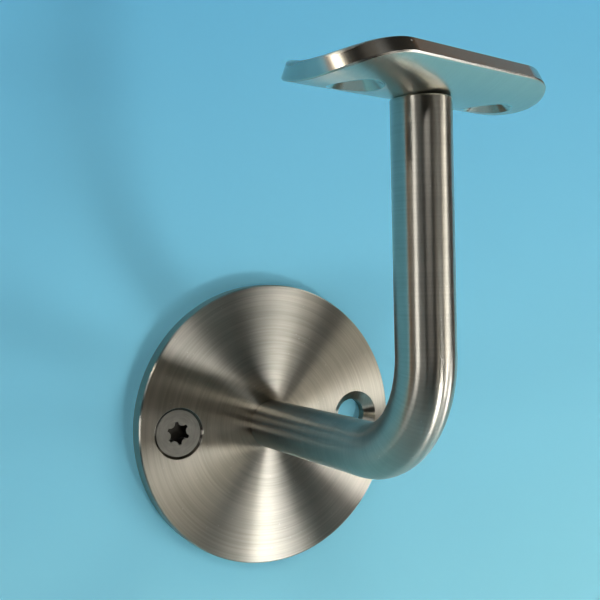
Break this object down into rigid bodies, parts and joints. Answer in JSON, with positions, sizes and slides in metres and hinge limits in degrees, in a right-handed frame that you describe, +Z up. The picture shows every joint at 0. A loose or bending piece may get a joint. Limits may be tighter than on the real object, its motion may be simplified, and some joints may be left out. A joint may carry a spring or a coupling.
{
  "type": "handrail bracket",
  "caption": "Wall bracket for a handrail: round countersunk wall plate, bent round bar arm and a curved cradle that screws to the underside of a tubular rail.",
  "frame": {"origin": "centre of the wall plate's back face, in the plane of the wall", "axes": "+Z up; +Y into the wall, square to the plate; the arm reaches out along -Y and the rail runs roughly along X"},
  "size_m": [0.07, 0.1147, 0.1122],
  "materials": {
    "plate_steel": "circular brushed, as turned on a lathe",
    "arm_steel": "satin, ground across the bar",
    "cradle_steel": "smooth satin sheet",
    "screw_steel": "plain, slightly dull"
  },
  "bodies": {
    "root": {"wall_plate": "plate_steel", "arm": "arm_steel", "rail_cradle": "cradle_steel", "wall_screw": "screw_steel", "plate_screw": "screw_steel", "cradle_screw": "screw_steel"}
  },
  "joints": []
}
